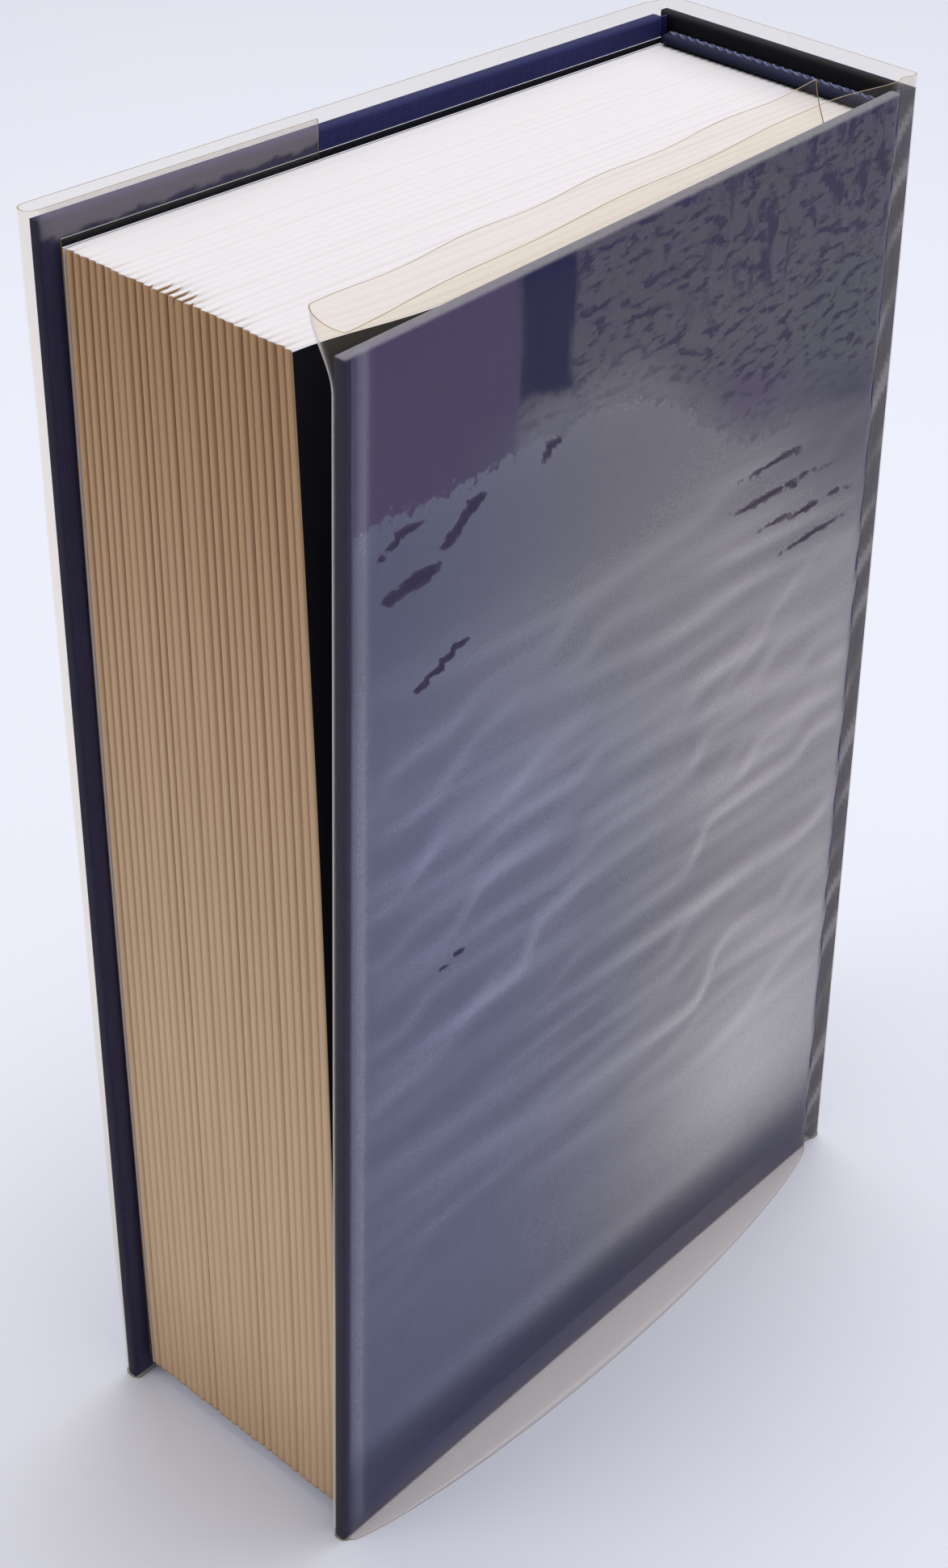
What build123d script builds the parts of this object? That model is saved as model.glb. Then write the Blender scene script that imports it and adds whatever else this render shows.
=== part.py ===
from build123d import *
import os

# A cased hardback standing on its tail edge, in a loose film jacket.
# X runs from the spine (-) to the fore edge (+), Y from the front cover (-) to the back (+), Z to the head.
# While it is built, X = 0 and Y = 0 are the middle of the closed case. At the end every piece moves
# together, so that the origin is the middle of the footprint. Lengths are in millimetres.

# Case
case_height = 222.0
case_width = 139.6
spine_thickness = 54.0
board_thickness = 1.9
cloth_thickness = 0.35
turn_in = 14.0
glue_gap = 0.04
strip_thickness = 1.6
joint_width = 5.0
hinge_inset = 2.6
hinge_clearance = 0.3

# How far each cover's outer face stands out at the fore edge, past its place at the spine
front_splay_head = 2.1
front_splay_tail = -5.3
back_splay_head = 10.5
back_splay_tail = 8.1

# Text block and what is glued to it. A gap is from a flyleaf to the inside of its cover.
head_square = 4.2
tail_square = 3.0
fore_square = 2.7
hollow = 3.5
spine_gap = 0.2
front_gap_head = 0.8
front_gap_tail = 1.0
back_gap_head = 9.8
back_gap_tail = 0.6
front_bulge = 0.8
back_bulge = 1.5
leaf_thickness = 0.25
leaf_gap = 0.1
paste_margin = 3.5
lining_thickness = 0.5
lining_margin = 6.0
band_tape_height = 10.0
band_tape_thickness = 0.5
bead_radius = 1.1
band_margin = 0.6

# Film jacket
film_thickness = 0.2
film_gap = 0.1
front_film_margin = 2.1
back_film_margin = 5.0
front_flap_width = 54.0
back_flap_width = 118.0
tail_flare = 9.0

FRONT = -1
BACK = 1
splays = {FRONT: (front_splay_tail, front_splay_head), BACK: (back_splay_tail, back_splay_head)}
gaps = {FRONT: (front_gap_tail, front_gap_head), BACK: (back_gap_tail, back_gap_head)}
bulges = {FRONT: front_bulge, BACK: back_bulge}
flap_widths = {FRONT: front_flap_width, BACK: back_flap_width}
film_margins = {FRONT: front_film_margin, BACK: back_film_margin}

spine_x = -case_width / 2
fore_x = case_width / 2
board_x = spine_x + joint_width
hinge_x = spine_x + hinge_inset
hinge_y = spine_thickness / 2 + film_gap + film_thickness + hinge_clearance
cover_depth = 2 * cloth_thickness + board_thickness + 2 * glue_gap
paste_depth = cover_depth + glue_gap
flap_depth = paste_depth + leaf_thickness + film_gap
leaf_depth = flap_depth + film_thickness
block_depth = leaf_depth + leaf_thickness + leaf_gap
case_lining_x = spine_x + 2 * cloth_thickness + strip_thickness + 2 * glue_gap
block_x = case_lining_x + hollow
block_fore_x = fore_x - fore_square
block_head = case_height - head_square
block_tail = tail_square
block_half_at_spine = spine_thickness / 2 - block_depth - spine_gap


def between(low, high, share):
    return low + (high - low) * share


def face_y(side, x, z, depth):
    """Y at a depth under a cover's outer face, which leans out and twists by its splay."""
    tail, head = splays[side]
    splay = between(tail, head, z / case_height) * (x - spine_x) / case_width
    return side * (spine_thickness / 2 + splay - depth)


def panel(side, x_range, z_range, depths):
    """A layer of a cover, between two depths under its outer face."""
    sections = []
    for x in x_range:
        low, high = z_range
        outer, inner = depths
        corners = [(low, outer), (high, outer), (high, inner), (low, inner)]
        sections.append(Wire.make_polygon([(x, face_y(side, x, z, d), z) for z, d in corners], close=True))
    return Solid.make_loft(sections, ruled=True)


def plate(x_range, y_range, z_range):
    """A box between two corners."""
    sizes = [high - low for low, high in (x_range, y_range, z_range)]
    low_corner = (x_range[0], y_range[0], z_range[0])
    return Pos(*low_corner) * Box(*sizes, align=(Align.MIN, Align.MIN, Align.MIN))


def cover_board(side):
    edges = cloth_thickness + glue_gap
    return panel(
        side,
        (board_x, fore_x - edges),
        (edges, case_height - edges),
        (edges, edges + board_thickness),
    )


def cover_cloth(side):
    """Cloth over one board: outer sheet from the hinge, wrapped edges and turn-ins on three sides."""
    sheet = panel(side, (hinge_x + hinge_clearance / 2, fore_x), (0, case_height), (0, cover_depth))
    room = panel(
        side,
        (spine_x, fore_x - cloth_thickness),
        (cloth_thickness, case_height - cloth_thickness),
        (cloth_thickness, cover_depth - cloth_thickness),
    )
    window = panel(
        side,
        (spine_x, fore_x - turn_in),
        (turn_in, case_height - turn_in),
        (cover_depth / 2, cover_depth + 1),
    )
    ends = panel(side, (spine_x, board_x), (-1, case_height + 1), (cloth_thickness, cover_depth + 1))
    return sheet - room - window - ends


def pastedown(side):
    return panel(
        side,
        (board_x, fore_x - paste_margin),
        (paste_margin, case_height - paste_margin),
        (paste_depth, paste_depth + leaf_thickness),
    )


def spine_cloth():
    """Cloth round the spine strip: the back, the joints as far as the hinges, and turn-ins at both ends."""
    half = spine_thickness / 2
    inner_half = half - cloth_thickness
    strip_half = inner_half - glue_gap
    inner_x = spine_x + cloth_thickness
    end_x = hinge_x - hinge_clearance / 2
    sheet = plate((spine_x, end_x), (-half, half), (0, case_height))
    room = plate((inner_x, end_x + 1), (-inner_half, inner_half), (-1, case_height + 1))
    folded = plate((spine_x, case_lining_x), (-strip_half, strip_half), (0, case_height))
    slot_heights = (cloth_thickness, case_height - cloth_thickness)
    slot = plate((inner_x, case_lining_x - cloth_thickness), (-half, half), slot_heights)
    middle = plate((inner_x, case_lining_x + 1), (-half, half), (turn_in, case_height - turn_in))
    return (sheet - room) + (folded - slot - middle)


def spine_strip():
    edges = cloth_thickness + glue_gap
    half = spine_thickness / 2 - edges - glue_gap
    thickness = (spine_x + edges, spine_x + edges + strip_thickness)
    return plate(thickness, (-half, half), (edges, case_height - edges))


def block_edge(side, offset):
    """A fore corner of the text block from tail to head, bowed outwards, moved out by an offset."""
    heights = (block_tail, (block_tail + block_head) / 2, block_head)
    tail_gap, head_gap = gaps[side]
    set_back = (tail_gap, (tail_gap + head_gap) / 2 - bulges[side], head_gap)
    depths = [block_depth + gap - offset for gap in set_back]
    return [(block_fore_x, face_y(side, block_fore_x, z, d), z) for z, d in zip(heights, depths)]


def loop(first, second):
    """Closed wire of two bowed edges, each through three points, joined at head and tail."""
    return Wire(
        [
            Edge.make_three_point_arc(*first),
            Edge.make_line(first[2], second[2]),
            Edge.make_three_point_arc(*second[::-1]),
            Edge.make_line(second[0], first[0]),
        ]
    )


def spine_loop(y_first, y_second):
    """The matching wire at the text block's back, upright."""
    tail_corners = [(block_x, y, block_tail) for y in (y_second, y_first)]
    head_corners = [(block_x, y, block_head) for y in (y_first, y_second)]
    return Wire.make_polygon(tail_corners[1:] + head_corners + tail_corners[:1], close=True)


def text_block():
    fore = loop(block_edge(FRONT, 0), block_edge(BACK, 0))
    back = spine_loop(-block_half_at_spine, block_half_at_spine)
    return Solid.make_loft([back, fore], ruled=True)


def flyleaf(side):
    near = leaf_gap
    far = leaf_gap + leaf_thickness
    fore = loop(block_edge(side, near), block_edge(side, far))
    back = spine_loop(side * (block_half_at_spine + near), side * (block_half_at_spine + far))
    return Solid.make_loft([back, fore], ruled=True)


def band(end):
    """Headband or tailband: a tape down the back of the text block, with a bead on its edge."""
    edge_z = {"head": block_head, "tail": block_tail}[end]
    outwards = {"head": 1, "tail": -1}[end]
    half = block_half_at_spine - band_margin
    bead_z = edge_z + outwards * (bead_radius + glue_gap)
    tape_x = block_x - glue_gap
    tape_end = edge_z - outwards * band_tape_height
    tape = plate((tape_x - band_tape_thickness, tape_x), (-half, half), sorted((bead_z, tape_end)))
    bead = Pos(tape_x - band_tape_thickness / 2, 0, bead_z) * Rot(90, 0, 0) * Cylinder(bead_radius, 2 * half)
    return tape + bead


def spine_lining():
    outer = block_x - 2 * glue_gap - band_tape_thickness
    half = block_half_at_spine
    heights = (block_tail + lining_margin, block_head - lining_margin)
    return plate((outer - lining_thickness, outer), (-half, half), heights)


def tail_lip():
    """The jacket's tail margin, bent out on the surface that the book stands on in a bow."""
    start = (hinge_x + hinge_clearance / 2, fore_x)
    inner = [(x, face_y(BACK, x, 0, -film_gap - film_thickness / 2)) for x in start]
    middle_x = sum(start) / 2
    bow = (middle_x, face_y(BACK, middle_x, 0, -tail_flare))
    outline = Wire([Edge.make_line(*inner), Edge.make_three_point_arc(inner[1], bow, inner[0])])
    return extrude(Face(outline), film_thickness, dir=(0, 0, 1))


def jacket_side(side):
    """Film over one cover: outer sheet, fold round the fore edge and the flap turned in behind the board."""
    top = case_height + film_margins[side]
    outer_x = fore_x + film_gap + film_thickness
    sleeve = panel(
        side,
        (hinge_x + hinge_clearance / 2, outer_x),
        (0, top),
        (-film_gap - film_thickness, flap_depth + film_thickness),
    )
    room = panel(side, (spine_x - 1, fore_x + film_gap), (-1, top + 1), (-film_gap, flap_depth))
    past_flap = panel(
        side,
        (spine_x - 1, fore_x - flap_widths[side]),
        (-1, top + 1),
        (cover_depth / 2, flap_depth + film_thickness + 1),
    )
    return sleeve - room - past_flap


def jacket_spine():
    top = case_height + front_film_margin
    half = spine_thickness / 2 + film_gap
    end_x = hinge_x - hinge_clearance / 2
    sleeve = plate(
        (spine_x - film_gap - film_thickness, end_x),
        (-half - film_thickness, half + film_thickness),
        (0, top),
    )
    return sleeve - plate((spine_x - film_gap, end_x + 1), (-half, half), (-1, top + 1))


pieces = {
    "text_block": text_block(),
    "headband": band("head"),
    "tailband": band("tail"),
    "spine_lining": spine_lining(),
    "spine_strip": spine_strip(),
    "spine_cloth": spine_cloth(),
    "jacket_spine": jacket_spine(),
    "front_flyleaf": flyleaf(FRONT),
    "back_flyleaf": flyleaf(BACK),
    "front_board": cover_board(FRONT),
    "front_cloth": cover_cloth(FRONT),
    "front_pastedown": pastedown(FRONT),
    "jacket_front": jacket_side(FRONT),
    "back_board": cover_board(BACK),
    "back_cloth": cover_cloth(BACK),
    "back_pastedown": pastedown(BACK),
    "jacket_back": jacket_side(BACK) + tail_lip(),
}

# The footprint's middle becomes the origin
whole = Compound(children=[Compound(piece.wrapped) for piece in pieces.values()]).bounding_box()
shift = Pos(-(whole.min.X + whole.max.X) / 2, -(whole.min.Y + whole.max.Y) / 2, 0)

os.makedirs("parts", exist_ok=True)
for name, piece in pieces.items():
    export_step(shift * piece, f"parts/{name}.step")

for side, name in ((FRONT, "front_cover_hinge"), (BACK, "back_cover_hinge")):
    axis = shift * Pos(hinge_x, side * hinge_y, 0)
    print(name, [round(value / 1000, 6) for value in axis.position])
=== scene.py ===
import math

import bpy
import numpy as np
from mathutils import Matrix, Vector


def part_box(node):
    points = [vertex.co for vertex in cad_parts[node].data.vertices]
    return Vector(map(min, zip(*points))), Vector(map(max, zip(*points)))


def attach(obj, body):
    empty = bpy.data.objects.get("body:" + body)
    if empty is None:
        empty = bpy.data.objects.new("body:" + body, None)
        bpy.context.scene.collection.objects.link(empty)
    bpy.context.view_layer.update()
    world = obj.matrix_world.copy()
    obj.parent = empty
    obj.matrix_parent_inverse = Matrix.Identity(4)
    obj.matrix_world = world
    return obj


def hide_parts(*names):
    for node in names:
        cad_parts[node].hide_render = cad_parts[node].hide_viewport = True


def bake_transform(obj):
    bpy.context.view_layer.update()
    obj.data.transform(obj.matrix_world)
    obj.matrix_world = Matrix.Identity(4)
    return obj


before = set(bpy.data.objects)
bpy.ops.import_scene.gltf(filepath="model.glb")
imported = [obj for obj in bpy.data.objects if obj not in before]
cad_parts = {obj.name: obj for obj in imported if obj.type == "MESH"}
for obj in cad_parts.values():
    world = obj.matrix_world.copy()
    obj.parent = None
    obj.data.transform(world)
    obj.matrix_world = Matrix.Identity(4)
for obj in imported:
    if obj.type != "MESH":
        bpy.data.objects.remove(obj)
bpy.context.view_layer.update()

# A cloth-bound book in a clear film jacket. Lengths here are in millimetres, as in the CAD source,
# and every mesh is written in metres. "side" is +1 for the back cover and -1 for the front cover.

MM = 0.001
FRONT = -1
BACK = 1
INNER_VEIL = 0.02
SIDE_NAMES = {FRONT: "front", BACK: "back"}
ROOT = "book"
rng = np.random.default_rng(7)


# ---------------------------------------------------------------- the CAD frame, read back

def cad_points(node):
    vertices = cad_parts[node].data.vertices
    found = np.empty(len(vertices) * 3, np.float32)
    vertices.foreach_get("co", found)
    return found.reshape(-1, 3).astype(float) / MM


def cad_corner(node, x_end, z_end, y_end):
    """The corner of a CAD node that lies furthest along X, then Z, then Y, each end given as +1 or -1."""
    points = cad_points(node)
    for axis, end in ((0, x_end), (2, z_end)):
        reach = points[:, axis] * end
        points = points[reach > reach.max() - 0.02]
    return points[np.argmax(points[:, 1] * y_end)]


spine_box = [np.array(corner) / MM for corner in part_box("spine_cloth")]
strip_box = [np.array(corner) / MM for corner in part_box("spine_strip")]
block_box = [np.array(corner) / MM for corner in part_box("text_block")]
board_box = [np.array(corner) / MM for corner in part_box("back_board")]
SPINE_X = spine_box[0][0]
FORE_X = cad_corner("back_cloth", 1, 1, 1)[0]
WIDTH = FORE_X - SPINE_X
HEIGHT = spine_box[1][2]
MIDDLE_Y = (spine_box[0][1] + spine_box[1][1]) / 2
HALF = (spine_box[1][1] - spine_box[0][1]) / 2
BOARD_X = board_box[0][0]
COVER_DEPTH = abs(cad_corner("back_cloth", 1, 1, 1)[1] - cad_corner("back_cloth", 1, 1, -1)[1])
BLOCK_X = block_box[0][0]
BLOCK_FORE_X = block_box[1][0]
BLOCK_TAIL = block_box[0][2]
BLOCK_HEAD = block_box[1][2]


def splay(side, z):
    """How far a cover's outer face stands out at the fore edge."""
    ends = [(cad_corner(f"{SIDE_NAMES[side]}_cloth", 1, end, side)[1] - MIDDLE_Y) * side - HALF for end in (-1, 1)]
    return ends[0] + (ends[1] - ends[0]) * z / HEIGHT


SPLAY = {side: (splay(side, 0.0), splay(side, HEIGHT)) for side in (FRONT, BACK)}


def face_y(side, x, z, depth):
    """Y at a depth under a cover's outer face."""
    tail, head = SPLAY[side]
    out = (tail + (head - tail) * z / HEIGHT) * (x - SPINE_X) / WIDTH
    return MIDDLE_Y + side * (HALF + out - depth)


# ---------------------------------------------------------------- mesh helpers

def smooth(value, low, high):
    """0 below low, 1 above high and an even curve between them."""
    share = np.clip((value - low) / (high - low), 0, 1)
    return share * share * (3 - 2 * share)


def make_mesh(name, points, faces, attributes=(), face_slots=None, sharp=40):
    mesh = bpy.data.meshes.new(name)
    mesh.from_pydata((np.asarray(points) * MM).tolist(), [], faces)
    for key, kind, values in attributes:
        data = mesh.attributes.new(key, kind, "POINT").data
        field = {"FLOAT": "value", "FLOAT_VECTOR": "vector", "FLOAT_COLOR": "color"}[kind]
        data.foreach_set(field, np.asarray(values, np.float32).ravel())
    if face_slots is not None:
        mesh.polygons.foreach_set("material_index", np.asarray(face_slots, np.int32))
    mesh.shade_smooth()
    mesh.set_sharp_from_angle(angle=math.radians(sharp))
    mesh.validate()
    piece = bpy.data.objects.new(name, mesh)
    bpy.context.scene.collection.objects.link(piece)
    return piece


def grid_faces(rows, columns, start=0, flip=False):
    """Quads of a grid of rows x columns points, numbered row by row."""
    index = start + np.arange(rows * columns).reshape(rows, columns)
    quads = np.stack([index[:-1, :-1], index[1:, :-1], index[1:, 1:], index[:-1, 1:]], -1).reshape(-1, 4)
    return (quads[:, ::-1] if flip else quads).tolist()


def sheet_solid(name, outer, inner, flat, tones=(), start_slot=1, sharp=40):
    """A closed thin solid between two grids of points. Its cut edges take the second material slot, or
    start_slot along the first column. Each tone is a name, a kind and a grid of values for the outer side;
    the inner side keeps the colours with little of their cover."""
    rows, columns = outer.shape[:2]
    count = rows * columns
    points = np.concatenate([outer.reshape(-1, 3), inner.reshape(-1, 3)])
    faces = grid_faces(rows, columns) + grid_faces(rows, columns, count, True)
    slots = [0] * len(faces)
    index = np.arange(count).reshape(rows, columns)
    loop = [*index[0, :-1], *index[:-1, -1], *index[-1, :0:-1], *index[:0:-1, 0]]
    for first, second in zip(loop, loop[1:] + loop[:1]):
        faces.append([int(first), int(second), int(second + count), int(first + count)])
        slots.append(start_slot if first % columns == 0 and second % columns == 0 else 1)
    attributes = [("flat", "FLOAT_VECTOR", np.concatenate([flat.reshape(-1, 3)] * 2))]
    for key, kind, values in tones:
        values = values.reshape(count, -1)
        behind = values * ((1, 1, 1, INNER_VEIL) if kind == "FLOAT_COLOR" else 0.0)
        attributes.append((key, kind, np.concatenate([values, behind])))
    piece = make_mesh(name, points, faces, attributes, slots, sharp)
    fix_normals(piece)
    return piece


def fix_normals(piece):
    import bmesh
    work = bmesh.new()
    work.from_mesh(piece.data)
    bmesh.ops.recalc_face_normals(work, faces=work.faces)
    work.to_mesh(piece.data)
    work.free()


def grid_normals(points):
    along = np.gradient(points, axis=0)
    across = np.gradient(points, axis=1)
    normal = np.cross(along, across)
    return normal / np.maximum(np.linalg.norm(normal, axis=2, keepdims=True), 1e-9)


def slab(name, a_range, b_range, depth, radius, place, steps=(30, 46)):
    """A closed plate with rounded edges. place(a, b, depth) gives a point, and the faces lie at depths 0 and depth."""
    na, nb = steps
    turn = np.linspace(0, math.pi / 2, 5)
    rings = [(radius * (1 - math.sin(t)), radius * (1 - math.cos(t))) for t in turn]
    rings += [(inset, depth - d) for inset, d in rings[::-1]]
    points = []
    flat = []

    def add(a, b, d):
        points.append(place(a, b, d))
        flat.append((a, b, d))
        return len(points) - 1

    def face_grid(inset, d):
        low_a, high_a = a_range[0] + inset, a_range[1] - inset
        low_b, high_b = b_range[0] + inset, b_range[1] - inset
        grid = np.empty((nb + 1, na + 1), int)
        for j in range(nb + 1):
            for i in range(na + 1):
                grid[j, i] = add(low_a + (high_a - low_a) * i / na, low_b + (high_b - low_b) * j / nb, d)
        return grid

    def border(grid):
        return [*grid[0, :-1], *grid[:-1, -1], *grid[-1, :0:-1], *grid[:0:-1, 0]]

    def ring(inset, d):
        low_a, high_a = a_range[0] + inset, a_range[1] - inset
        low_b, high_b = b_range[0] + inset, b_range[1] - inset
        corners = [(low_a, low_b), (high_a, low_b), (high_a, high_b), (low_a, high_b)]
        found = []
        for k, count in enumerate((na, nb, na, nb)):
            first, second = corners[k], corners[(k + 1) % 4]
            for i in range(count):
                share = i / count
                found.append(add(*(p + (q - p) * share for p, q in zip(first, second)), d))
        return found

    top = face_grid(*rings[0])
    loops = [border(top)] + [ring(*r) for r in rings[1:-1]]
    bottom = face_grid(*rings[-1])
    loops.append(border(bottom))
    faces = []
    for grid in (top, bottom):
        quads = np.stack([grid[:-1, :-1], grid[1:, :-1], grid[1:, 1:], grid[:-1, 1:]], -1).reshape(-1, 4)
        faces += quads.tolist()
    for first, second in zip(loops, loops[1:]):
        for k in range(len(first)):
            n = (k + 1) % len(first)
            faces.append([int(first[k]), int(first[n]), int(second[n]), int(second[k])])
    piece = make_mesh(name, points, faces, [("flat", "FLOAT_VECTOR", flat)], sharp=50)
    fix_normals(piece)
    return piece


# ---------------------------------------------------------------- node helpers

def new_material(name):
    made = bpy.data.materials.new(name)
    made.use_nodes = True
    tree = made.node_tree
    return made, tree, tree.nodes["Principled BSDF"]


def add(tree, kind, links=(), **settings):
    """A node with its properties set, and its inputs set or linked, by name or number."""
    made = tree.nodes.new("ShaderNode" + kind)
    for key, value in settings.items():
        setattr(made, key, value)
    for key, value in dict(links).items():
        if isinstance(value, bpy.types.NodeSocket):
            tree.links.new(value, made.inputs[key])
        else:
            made.inputs[key].default_value = value
    return made


def ramp(tree, factor, stops):
    made = add(tree, "ValToRGB", {"Fac": factor})
    elements = made.color_ramp.elements
    while len(elements) < len(stops):
        elements.new(0.5)
    for element, (place, colour) in zip(elements, stops):
        element.position = place
        element.color = (*colour, 1)
    return made.outputs["Color"]


def scaled(tree, vector, scale):
    return add(tree, "Vector" "Math", {0: vector, 1: scale}, operation="MULTIPLY").outputs[0]


def mix_colour(tree, factor, first, second, blend="MIX"):
    made = add(tree, "Mix", data_type="RGBA", blend_type=blend)
    for socket, value in ((made.inputs[0], factor), (made.inputs[6], first), (made.inputs[7], second)):
        if isinstance(value, bpy.types.NodeSocket):
            tree.links.new(value, socket)
        elif isinstance(value, (int, float)):
            socket.default_value = value
        else:
            socket.default_value = (*value, 1)
    return made.outputs[2]


def maths(tree, operation, first, second=0.0, clamp=False):
    return add(tree, "Math", {0: first, 1: second}, operation=operation, use_clamp=clamp).outputs[0]


def bump(tree, shader, height, strength, distance):
    made = add(tree, "Bump", {"Height": height, "Strength": strength, "Distance": distance * MM})
    tree.links.new(made.outputs[0], shader.inputs["Normal"])


def noise(tree, vector, scale, detail=3.0, rough=0.5):
    return add(tree, "TexNoise", {"Vector": vector, "Scale": scale, "Detail": detail, "Roughness": rough})


# ---------------------------------------------------------------- materials

def cloth_material(name, colour, pale, hollow_shade_depth=0.0, sheen_rub_above=0.0):
    """Fine woven book cloth: two crossed threads about 0.7 mm apart, with slubs and a little wear. It turns
    black past a given depth, a painted shade for the inside of the hollow back, and turns a silver grey
    above a given height, a painted sheen with a little wear. Along the fore edge it takes a painted shade."""
    made, tree, shader = new_material(name)
    place = add(tree, "Attribute", attribute_name="flat").outputs["Vector"]
    threads = []
    for direction in ("X", "Y"):
        wave = add(
            tree, "TexWave", {"Vector": place, "Scale": 0.45, "Distortion": 0.8, "Detail": 1.5},
            wave_type="BANDS", bands_direction=direction,
        )
        threads.append(wave.outputs["Fac"])
    weave = maths(tree, "MULTIPLY", threads[0], threads[1])
    slubs = noise(tree, scaled(tree, place, (0.9, 0.16, 0.9)), 1.4, 4.0).outputs["Fac"]
    cloud = noise(tree, place, 0.06, 4.0).outputs["Fac"]
    base = mix_colour(tree, maths(tree, "MULTIPLY", weave, 0.6), colour, pale)
    base = mix_colour(tree, ramp_value(tree, slubs, 0.48, 0.75), base, pale)
    base = mix_colour(tree, maths(tree, "MULTIPLY", cloud, 0.5), base, tuple(c * 0.6 for c in colour))
    # Painted shade: the cloth is near black past the given depth, inside the hollow back.
    if hollow_shade_depth:
        depth = add(tree, "SeparateXYZ", {"Vector": place}).outputs["Z"]
        inside = add(
            tree, "MapRange", {"Value": depth, "From Min": hollow_shade_depth, "From Max": hollow_shade_depth + 0.5},
        ).outputs["Result"]
        base = mix_colour(tree, inside, base, (0.0012, 0.0012, 0.003))
    # Painted shade: the cloth is darker along the board's fore edge.
    along = add(tree, "SeparateXYZ", {"Vector": place}).outputs["X"]
    fore_edge_shade = add(
        tree, "MapRange", {"Value": along, "From Min": FORE_X - 0.5, "From Max": FORE_X - 0.1, "To Max": 0.7},
    ).outputs["Result"]
    base = mix_colour(tree, fore_edge_shade, base, (0.004, 0.004, 0.010))
    # Painted sheen with a little wear: the cloth turns silver grey along the head edge.
    if sheen_rub_above:
        high = add(tree, "SeparateXYZ", {"Vector": place}).outputs["Y"]
        edge = add(
            tree, "MapRange", {"Value": high, "From Min": sheen_rub_above, "From Max": sheen_rub_above + 0.3},
        ).outputs["Result"]
        sheen_rub = mix_colour(tree, slubs, (0.13, 0.13, 0.18), (0.23, 0.23, 0.28))
        base = mix_colour(tree, edge, base, sheen_rub)
    tree.links.new(base, shader.inputs["Base Color"])
    shader.inputs["Roughness"].default_value = 0.75
    shader.inputs["Specular IOR Level"].default_value = 0.18
    shader.inputs["Sheen Weight"].default_value = 0.04
    shader.inputs["Sheen Roughness"].default_value = 0.4
    bump(tree, shader, maths(tree, "ADD", weave, slubs), 0.3, 0.06)
    return made


def ramp_value(tree, value, low, high):
    made = add(tree, "MapRange", {"Value": value, "From Min": low, "From Max": high, "To Min": 0.0, "To Max": 0.35})
    return made.outputs["Result"]


def paper_material(name, colour, coordinates="object"):
    """Plain endpaper with fibres and faint clouding."""
    made, tree, shader = new_material(name)
    place = scaled(tree, add(tree, "TexCoord").outputs["Object"], (1 / MM,) * 3)
    fibres = noise(tree, place, 1.1, 5.0, 0.6).outputs["Fac"]
    cloud = noise(tree, place, 0.03, 3.0).outputs["Fac"]
    base = mix_colour(tree, maths(tree, "MULTIPLY", fibres, 0.25), colour, tuple(c * 0.85 for c in colour))
    base = mix_colour(tree, maths(tree, "MULTIPLY", cloud, 0.3), base, tuple(c * 0.9 for c in colour))
    tree.links.new(base, shader.inputs["Base Color"])
    shader.inputs["Roughness"].default_value = 0.85
    bump(tree, shader, fibres, 0.25, 0.05)
    return made


def endpaper_material(name, shade_towards):
    """Endpaper that is near black on the side that faces +1 or -1 along Y, as given, a painted shade for the deep gap
    beside the text block, and white on the other.
    """
    made, tree, shader = new_material(name)
    place = scaled(tree, add(tree, "TexCoord").outputs["Object"], (1 / MM,) * 3)
    fibres = noise(tree, place, 1.1, 5.0, 0.6).outputs["Fac"]
    facing = add(tree, "SeparateXYZ", {"Vector": add(tree, "TexCoord").outputs["Normal"]}).outputs
    is_shaded = maths(tree, "GREATER_THAN", maths(tree, "MULTIPLY", facing["Y"], shade_towards), 0.5)
    is_edge = maths(tree, "GREATER_THAN", facing["X"], 0.5)
    pale = mix_colour(tree, fibres, (0.78, 0.78, 0.86), (0.66, 0.66, 0.76))
    # Painted shade: the side facing the deep gap beside the text block is near black.
    painted_shade_colour = mix_colour(tree, fibres, (0.005, 0.005, 0.008), (0.010, 0.010, 0.016))
    sides = mix_colour(tree, is_shaded, pale, painted_shade_colour)
    tree.links.new(mix_colour(tree, is_edge, sides, (0.30, 0.19, 0.10)), shader.inputs["Base Color"])
    shader.inputs["Roughness"].default_value = 0.85
    shader.inputs["Specular IOR Level"].default_value = 0.2
    bump(tree, shader, fibres, 0.25, 0.05)
    return made


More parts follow.
